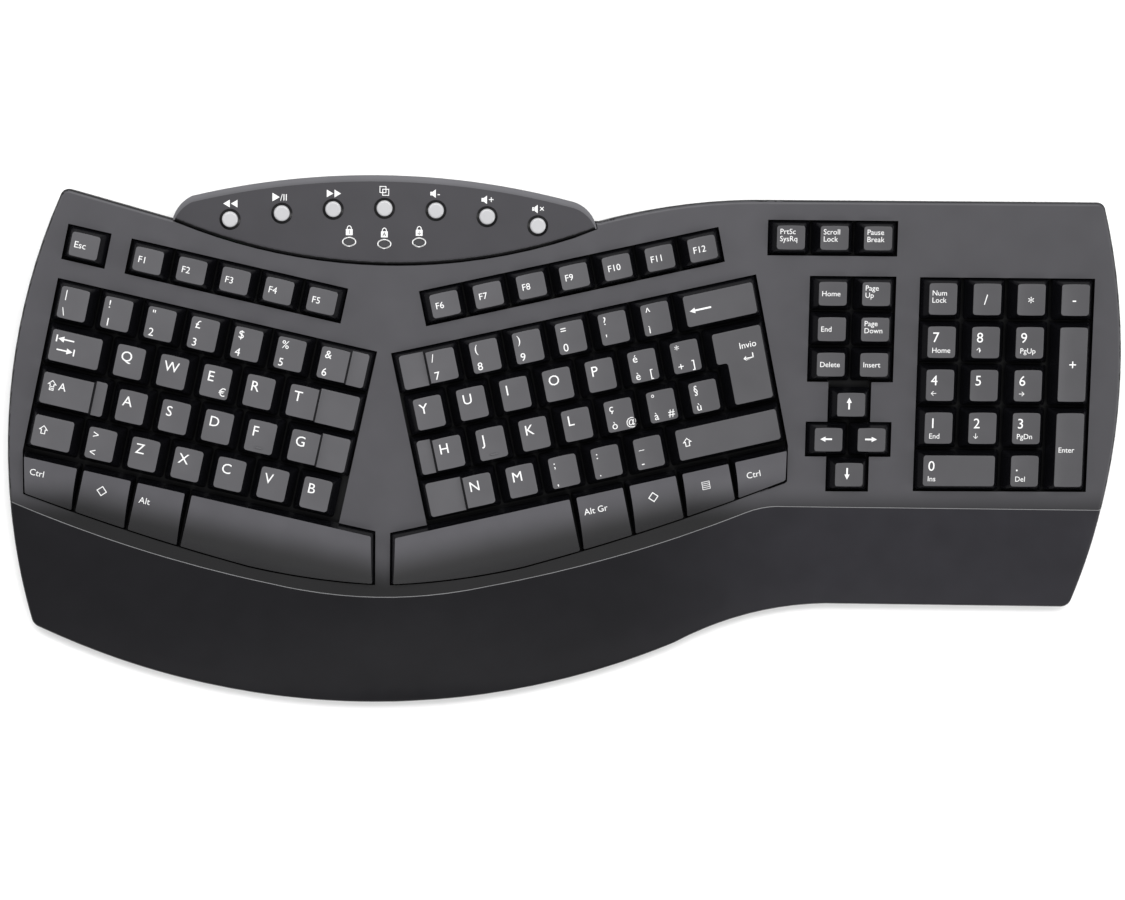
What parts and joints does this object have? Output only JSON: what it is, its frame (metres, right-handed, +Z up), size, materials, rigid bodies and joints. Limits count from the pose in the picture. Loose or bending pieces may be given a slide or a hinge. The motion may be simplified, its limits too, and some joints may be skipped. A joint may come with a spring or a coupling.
{
  "type": "ergonomic split keyboard",
  "caption": "Ergonomic split keyboard with two turned, tented key halves, a number pad, a curved media button panel and a wide sloping palm rest.",
  "frame": {"origin": "middle of the bounding box at the underside of the rubber pads, which lie on the table", "axes": "+X to the right along the keyboard, +Y to the rear, +Z up from the table"},
  "size_m": [0.4882, 0.2312, 0.0434],
  "materials": {
    "deck_plastic": "satin dark grey moulded plastic with a faint grain",
    "palm_plastic": "smooth near-black plastic",
    "case_plastic": "black moulded plastic",
    "panel_plastic": "satin dark grey plastic",
    "guide_plastic": "black moulded plastic",
    "key_plastic": "satin dark grey key tops with glossier dark skirts",
    "bar_plastic": "satin dark grey key tops",
    "button_plastic": "glossy near-white round buttons",
    "dome_rubber": "translucent grey silicone rubber",
    "membrane_film": "clear printed film",
    "plate_metal": "plain sheet steel",
    "board_green": "green lacquered circuit board",
    "lens_plastic": "milky clear light guides",
    "wire_steel": "bright steel wire",
    "pad_rubber": "black non-slip rubber",
    "screw_steel": "dark plated steel",
    "foot_plastic": "black moulded plastic"
  },
  "bodies": {
    "housing": {"top_deck": "deck_plastic", "palm_rest": "palm_plastic", "bottom_case": "case_plastic", "media_panel": "panel_plastic", "key_guides": "guide_plastic", "rubber_domes": "dome_rubber", "membranes": "membrane_film", "backplates": "plate_metal", "controller_board": "board_green", "indicator_lenses": "lens_plastic", "stabiliser_wires": "wire_steel", "rubber_pads": "pad_rubber", "case_screws": "screw_steel"},
    "backspace_key": {"backspace_key": "key_plastic"},
    "caps_lock_key": {"caps_lock_key": "key_plastic"},
    "down_arrow_key": {"down_arrow_key": "key_plastic"},
    "enter_key": {"enter_key": "key_plastic"},
    "esc_key": {"esc_key": "key_plastic"},
    "function_keys_left": {"function_keys_left": "key_plastic"},
    "function_keys_right": {"function_keys_right": "key_plastic"},
    "home_letter_keys_left": {"home_letter_keys_left": "key_plastic"},
    "home_letter_keys_right": {"home_letter_keys_right": "key_plastic"},
    "left_alt_key": {"left_alt_key": "bar_plastic"},
    "left_arrow_key": {"left_arrow_key": "key_plastic"},
    "left_ctrl_key": {"left_ctrl_key": "bar_plastic"},
    "left_os_key": {"left_os_key": "bar_plastic"},
    "left_shift_key": {"left_shift_key": "key_plastic"},
    "left_space_bar": {"left_space_bar": "bar_plastic"},
    "lower_letter_keys_left": {"lower_letter_keys_left": "key_plastic"},
    "lower_letter_keys_right": {"lower_letter_keys_right": "key_plastic"},
    "menu_key": {"menu_key": "bar_plastic"},
    "navigation_keys": {"navigation_keys": "key_plastic"},
    "number_keys_left": {"number_keys_left": "key_plastic"},
    "number_keys_right": {"number_keys_right": "key_plastic"},
    "numpad_digit_keys": {"numpad_digit_keys": "key_plastic"},
    "numpad_enter_key": {"numpad_enter_key": "key_plastic"},
    "numpad_plus_key": {"numpad_plus_key": "key_plastic"},
    "numpad_top_keys": {"numpad_top_keys": "key_plastic"},
    "numpad_zero_key": {"numpad_zero_key": "key_plastic"},
    "right_alt_key": {"right_alt_key": "bar_plastic"},
    "right_arrow_key": {"right_arrow_key": "key_plastic"},
    "right_ctrl_key": {"right_ctrl_key": "bar_plastic"},
    "right_os_key": {"right_os_key": "bar_plastic"},
    "right_shift_key": {"right_shift_key": "key_plastic"},
    "right_space_bar": {"right_space_bar": "bar_plastic"},
    "system_keys": {"system_keys": "key_plastic"},
    "tab_key": {"tab_key": "key_plastic"},
    "top_letter_keys_left": {"top_letter_keys_left": "key_plastic"},
    "top_letter_keys_right": {"top_letter_keys_right": "key_plastic"},
    "up_arrow_key": {"up_arrow_key": "key_plastic"},
    "forward_button": {"forward_button": "button_plastic"},
    "media_button": {"media_button": "button_plastic"},
    "mute_button": {"mute_button": "button_plastic"},
    "play_button": {"play_button": "button_plastic"},
    "rewind_button": {"rewind_button": "button_plastic"},
    "volume_down_button": {"volume_down_button": "button_plastic"},
    "volume_up_button": {"volume_up_button": "button_plastic"},
    "left_foot": {"left_foot": "foot_plastic"},
    "right_foot": {"right_foot": "foot_plastic"}
  },
  "joints": [
    {"name": "backspace_key_press", "type": "slide", "parent": "housing", "child": "backspace_key", "axis": [0.0866, -0.1128, 0.9898], "range_m": [-0.0034, 0], "stiffness_N_per_m": 150, "springref_m": 0.0008, "deforming": ["rubber_domes"]},
    {"name": "caps_lock_key_press", "type": "slide", "parent": "housing", "child": "caps_lock_key", "axis": [-0.0866, -0.1128, 0.9898], "range_m": [-0.0034, 0], "stiffness_N_per_m": 150, "springref_m": 0.0008, "deforming": ["rubber_domes"]},
    {"name": "down_arrow_key_press", "type": "slide", "parent": "housing", "child": "down_arrow_key", "axis": [0, -0.1132, 0.9936], "range_m": [-0.0034, 0], "stiffness_N_per_m": 150, "springref_m": 0.0008, "deforming": ["rubber_domes"]},
    {"name": "enter_key_press", "type": "slide", "parent": "housing", "child": "enter_key", "axis": [0.0866, -0.1128, 0.9898], "range_m": [-0.0034, 0], "stiffness_N_per_m": 150, "springref_m": 0.0008, "deforming": ["rubber_domes"]},
    {"name": "esc_key_press", "type": "slide", "parent": "housing", "child": "esc_key", "axis": [-0.0866, -0.1128, 0.9898], "range_m": [-0.0034, 0], "stiffness_N_per_m": 150, "springref_m": 0.0008, "deforming": ["rubber_domes"]},
    {"name": "function_keys_left_press", "type": "slide", "parent": "housing", "child": "function_keys_left", "axis": [-0.0866, -0.1128, 0.9898], "range_m": [-0.0034, 0], "stiffness_N_per_m": 750, "springref_m": 0.0008, "deforming": ["rubber_domes"]},
    {"name": "function_keys_right_press", "type": "slide", "parent": "housing", "child": "function_keys_right", "axis": [0.0866, -0.1128, 0.9898], "range_m": [-0.0034, 0], "stiffness_N_per_m": 1050, "springref_m": 0.0008, "deforming": ["rubber_domes"]},
    {"name": "home_letter_keys_left_press", "type": "slide", "parent": "housing", "child": "home_letter_keys_left", "axis": [-0.0866, -0.1128, 0.9898], "range_m": [-0.0034, 0], "stiffness_N_per_m": 750, "springref_m": 0.0008, "deforming": ["rubber_domes"]},
    {"name": "home_letter_keys_right_press", "type": "slide", "parent": "housing", "child": "home_letter_keys_right", "axis": [0.0866, -0.1128, 0.9898], "range_m": [-0.0034, 0], "stiffness_N_per_m": 1050, "springref_m": 0.0008, "deforming": ["rubber_domes"]},
    {"name": "left_alt_key_press", "type": "slide", "parent": "housing", "child": "left_alt_key", "axis": [-0.0866, -0.1128, 0.9898], "range_m": [-0.0034, 0], "stiffness_N_per_m": 150, "springref_m": 0.0008, "deforming": ["rubber_domes"]},
    {"name": "left_arrow_key_press", "type": "slide", "parent": "housing", "child": "left_arrow_key", "axis": [0, -0.1132, 0.9936], "range_m": [-0.0034, 0], "stiffness_N_per_m": 150, "springref_m": 0.0008, "deforming": ["rubber_domes"]},
    {"name": "left_ctrl_key_press", "type": "slide", "parent": "housing", "child": "left_ctrl_key", "axis": [-0.0866, -0.1128, 0.9898], "range_m": [-0.0034, 0], "stiffness_N_per_m": 150, "springref_m": 0.0008, "deforming": ["rubber_domes"]},
    {"name": "left_os_key_press", "type": "slide", "parent": "housing", "child": "left_os_key", "axis": [-0.0866, -0.1128, 0.9898], "range_m": [-0.0034, 0], "stiffness_N_per_m": 150, "springref_m": 0.0008, "deforming": ["rubber_domes"]},
    {"name": "left_shift_key_press", "type": "slide", "parent": "housing", "child": "left_shift_key", "axis": [-0.0866, -0.1128, 0.9898], "range_m": [-0.0034, 0], "stiffness_N_per_m": 150, "springref_m": 0.0008, "deforming": ["rubber_domes"]},
    {"name": "left_space_bar_press", "type": "slide", "parent": "housing", "child": "left_space_bar", "axis": [-0.0866, -0.1128, 0.9898], "range_m": [-0.0034, 0], "stiffness_N_per_m": 150, "springref_m": 0.0008, "deforming": ["rubber_domes"]},
    {"name": "lower_letter_keys_left_press", "type": "slide", "parent": "housing", "child": "lower_letter_keys_left", "axis": [-0.0866, -0.1128, 0.9898], "range_m": [-0.0034, 0], "stiffness_N_per_m": 900, "springref_m": 0.0008, "deforming": ["rubber_domes"]},
    {"name": "lower_letter_keys_right_press", "type": "slide", "parent": "housing", "child": "lower_letter_keys_right", "axis": [0.0866, -0.1128, 0.9898], "range_m": [-0.0034, 0], "stiffness_N_per_m": 750, "springref_m": 0.0008, "deforming": ["rubber_domes"]},
    {"name": "menu_key_press", "type": "slide", "parent": "housing", "child": "menu_key", "axis": [0.0866, -0.1128, 0.9898], "range_m": [-0.0034, 0], "stiffness_N_per_m": 150, "springref_m": 0.0008, "deforming": ["rubber_domes"]},
    {"name": "navigation_keys_press", "type": "slide", "parent": "housing", "child": "navigation_keys", "axis": [0, -0.1132, 0.9936], "range_m": [-0.0034, 0], "stiffness_N_per_m": 900, "springref_m": 0.0008, "deforming": ["rubber_domes"]},
    {"name": "number_keys_left_press", "type": "slide", "parent": "housing", "child": "number_keys_left", "axis": [-0.0866, -0.1128, 0.9898], "range_m": [-0.0034, 0], "stiffness_N_per_m": 1050, "springref_m": 0.0008, "deforming": ["rubber_domes"]},
    {"name": "number_keys_right_press", "type": "slide", "parent": "housing", "child": "number_keys_right", "axis": [0.0866, -0.1128, 0.9898], "range_m": [-0.0034, 0], "stiffness_N_per_m": 900, "springref_m": 0.0008, "deforming": ["rubber_domes"]},
    {"name": "numpad_digit_keys_press", "type": "slide", "parent": "housing", "child": "numpad_digit_keys", "axis": [0, -0.1132, 0.9936], "range_m": [-0.0034, 0], "stiffness_N_per_m": 1500, "springref_m": 0.0008, "deforming": ["rubber_domes"]},
    {"name": "numpad_enter_key_press", "type": "slide", "parent": "housing", "child": "numpad_enter_key", "axis": [0, -0.1132, 0.9936], "range_m": [-0.0034, 0], "stiffness_N_per_m": 150, "springref_m": 0.0008, "deforming": ["rubber_domes"]},
    {"name": "numpad_plus_key_press", "type": "slide", "parent": "housing", "child": "numpad_plus_key", "axis": [0, -0.1132, 0.9936], "range_m": [-0.0034, 0], "stiffness_N_per_m": 150, "springref_m": 0.0008, "deforming": ["rubber_domes"]},
    {"name": "numpad_top_keys_press", "type": "slide", "parent": "housing", "child": "numpad_top_keys", "axis": [0, -0.1132, 0.9936], "range_m": [-0.0034, 0], "stiffness_N_per_m": 600, "springref_m": 0.0008, "deforming": ["rubber_domes"]},
    {"name": "numpad_zero_key_press", "type": "slide", "parent": "housing", "child": "numpad_zero_key", "axis": [0, -0.1132, 0.9936], "range_m": [-0.0034, 0], "stiffness_N_per_m": 150, "springref_m": 0.0008, "deforming": ["rubber_domes"]},
    {"name": "right_alt_key_press", "type": "slide", "parent": "housing", "child": "right_alt_key", "axis": [0.0866, -0.1128, 0.9898], "range_m": [-0.0034, 0], "stiffness_N_per_m": 150, "springref_m": 0.0008, "deforming": ["rubber_domes"]},
    {"name": "right_arrow_key_press", "type": "slide", "parent": "housing", "child": "right_arrow_key", "axis": [0, -0.1132, 0.9936], "range_m": [-0.0034, 0], "stiffness_N_per_m": 150, "springref_m": 0.0008, "deforming": ["rubber_domes"]},
    {"name": "right_ctrl_key_press", "type": "slide", "parent": "housing", "child": "right_ctrl_key", "axis": [0.0866, -0.1128, 0.9898], "range_m": [-0.0034, 0], "stiffness_N_per_m": 150, "springref_m": 0.0008, "deforming": ["rubber_domes"]},
    {"name": "right_os_key_press", "type": "slide", "parent": "housing", "child": "right_os_key", "axis": [0.0866, -0.1128, 0.9898], "range_m": [-0.0034, 0], "stiffness_N_per_m": 150, "springref_m": 0.0008, "deforming": ["rubber_domes"]},
    {"name": "right_shift_key_press", "type": "slide", "parent": "housing", "child": "right_shift_key", "axis": [0.0866, -0.1128, 0.9898], "range_m": [-0.0034, 0], "stiffness_N_per_m": 150, "springref_m": 0.0008, "deforming": ["rubber_domes"]},
    {"name": "right_space_bar_press", "type": "slide", "parent": "housing", "child": "right_space_bar", "axis": [0.0866, -0.1128, 0.9898], "range_m": [-0.0034, 0], "stiffness_N_per_m": 150, "springref_m": 0.0008, "deforming": ["rubber_domes"]},
    {"name": "system_keys_press", "type": "slide", "parent": "housing", "child": "system_keys", "axis": [0, -0.1132, 0.9936], "range_m": [-0.0034, 0], "stiffness_N_per_m": 450, "springref_m": 0.0008, "deforming": ["rubber_domes"]},
    {"name": "tab_key_press", "type": "slide", "parent": "housing", "child": "tab_key", "axis": [-0.0866, -0.1128, 0.9898], "range_m": [-0.0034, 0], "stiffness_N_per_m": 150, "springref_m": 0.0008, "deforming": ["rubber_domes"]},
    {"name": "top_letter_keys_left_press", "type": "slide", "parent": "housing", "child": "top_letter_keys_left", "axis": [-0.0866, -0.1128, 0.9898], "range_m": [-0.0034, 0], "stiffness_N_per_m": 750, "springref_m": 0.0008, "deforming": ["rubber_domes"]},
    {"name": "top_letter_keys_right_press", "type": "slide", "parent": "housing", "child": "top_letter_keys_right", "axis": [0.0866, -0.1128, 0.9898], "range_m": [-0.0034, 0], "stiffness_N_per_m": 1050, "springref_m": 0.0008, "deforming": ["rubber_domes"]},
    {"name": "up_arrow_key_press", "type": "slide", "parent": "housing", "child": "up_arrow_key", "axis": [0, -0.1132, 0.9936], "range_m": [-0.0034, 0], "stiffness_N_per_m": 150, "springref_m": 0.0008, "deforming": ["rubber_domes"]},
    {"name": "forward_button_press", "type": "slide", "parent": "housing", "child": "forward_button", "axis": [0, 0, 1], "range_m": [-0.0008, 0], "stiffness_N_per_m": 400, "springref_m": 0.0005, "deforming": ["rubber_domes"]},
    {"name": "media_button_press", "type": "slide", "parent": "housing", "child": "media_button", "axis": [0, 0, 1], "range_m": [-0.0008, 0], "stiffness_N_per_m": 400, "springref_m": 0.0005, "deforming": ["rubber_domes"]},
    {"name": "mute_button_press", "type": "slide", "parent": "housing", "child": "mute_button", "axis": [0, 0, 1], "range_m": [-0.0008, 0], "stiffness_N_per_m": 400, "springref_m": 0.0005, "deforming": ["rubber_domes"]},
    {"name": "play_button_press", "type": "slide", "parent": "housing", "child": "play_button", "axis": [0, 0, 1], "range_m": [-0.0008, 0], "stiffness_N_per_m": 400, "springref_m": 0.0005, "deforming": ["rubber_domes"]},
    {"name": "rewind_button_press", "type": "slide", "parent": "housing", "child": "rewind_button", "axis": [0, 0, 1], "range_m": [-0.0008, 0], "stiffness_N_per_m": 400, "springref_m": 0.0005, "deforming": ["rubber_domes"]},
    {"name": "volume_down_button_press", "type": "slide", "parent": "housing", "child": "volume_down_button", "axis": [0, 0, 1], "range_m": [-0.0008, 0], "stiffness_N_per_m": 400, "springref_m": 0.0005, "deforming": ["rubber_domes"]},
    {"name": "volume_up_button_press", "type": "slide", "parent": "housing", "child": "volume_up_button", "axis": [0, 0, 1], "range_m": [-0.0008, 0], "stiffness_N_per_m": 400, "springref_m": 0.0005, "deforming": ["rubber_domes"]},
    {"name": "left_foot_hinge", "type": "hinge", "parent": "housing", "child": "left_foot", "pos_m": [-0.17867, 0.07327, 0.0042], "axis": [1, 0, 0], "range_deg": [0, 90]},
    {"name": "right_foot_hinge", "type": "hinge", "parent": "housing", "child": "right_foot", "pos_m": [0.1909, 0.08279, 0.0042], "axis": [1, 0, 0], "range_deg": [0, 90]}
  ]
}
